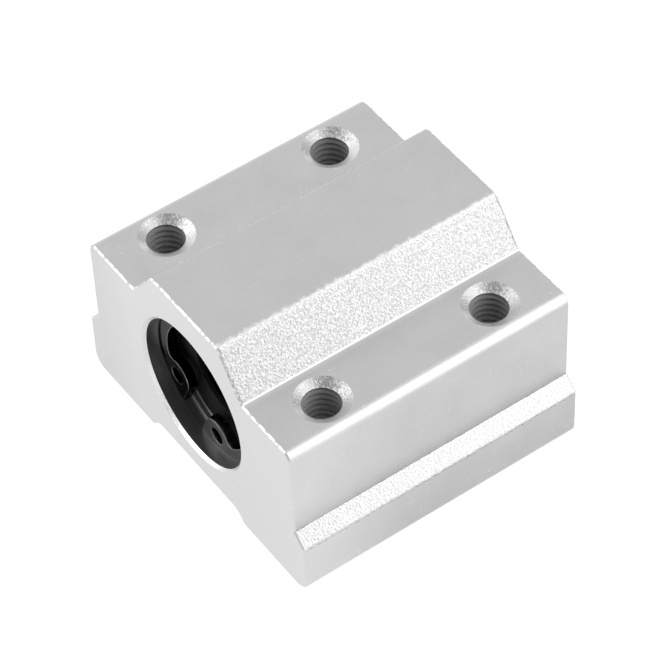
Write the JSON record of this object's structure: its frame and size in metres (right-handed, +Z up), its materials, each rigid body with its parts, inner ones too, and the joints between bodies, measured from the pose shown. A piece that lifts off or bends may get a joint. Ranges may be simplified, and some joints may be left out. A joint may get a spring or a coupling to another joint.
{
  "type": "linear bearing block",
  "caption": "Aluminium block with a sealed ball bushing inside that runs along a round shaft, with tapped fixing holes either side.",
  "frame": {"origin": "underside of the feet, midway between the sides and midway between the ends", "axes": "+X across the block, +Y along the shaft away from the end that the picture shows, +Z up from the feet to the crown"},
  "size_m": [0.034, 0.03, 0.022],
  "materials": {
    "housing_aluminium": "satin, as extruded on the crown's slopes and the side bands",
    "ring_steel": "black oxide",
    "bearing_steel": "ground",
    "cage_resin": "moulded",
    "seal_rubber": "moulded",
    "ball_steel": "polished"
  },
  "bodies": {
    "root": {"housing": "housing_aluminium", "front_retaining_ring": "ring_steel", "rear_retaining_ring": "ring_steel", "bearing_sleeve": "bearing_steel", "ball_cage": "cage_resin", "front_end_ring": "bearing_steel", "rear_end_ring": "bearing_steel", "front_seal": "seal_rubber", "rear_seal": "seal_rubber", "load_balls_1": "ball_steel", "return_balls_1": "ball_steel", "turn_balls_1": "ball_steel", "load_balls_2": "ball_steel", "return_balls_2": "ball_steel", "turn_balls_2": "ball_steel", "load_balls_3": "ball_steel", "return_balls_3": "ball_steel", "turn_balls_3": "ball_steel", "load_balls_4": "ball_steel", "return_balls_4": "ball_steel", "turn_balls_4": "ball_steel"}
  },
  "joints": []
}
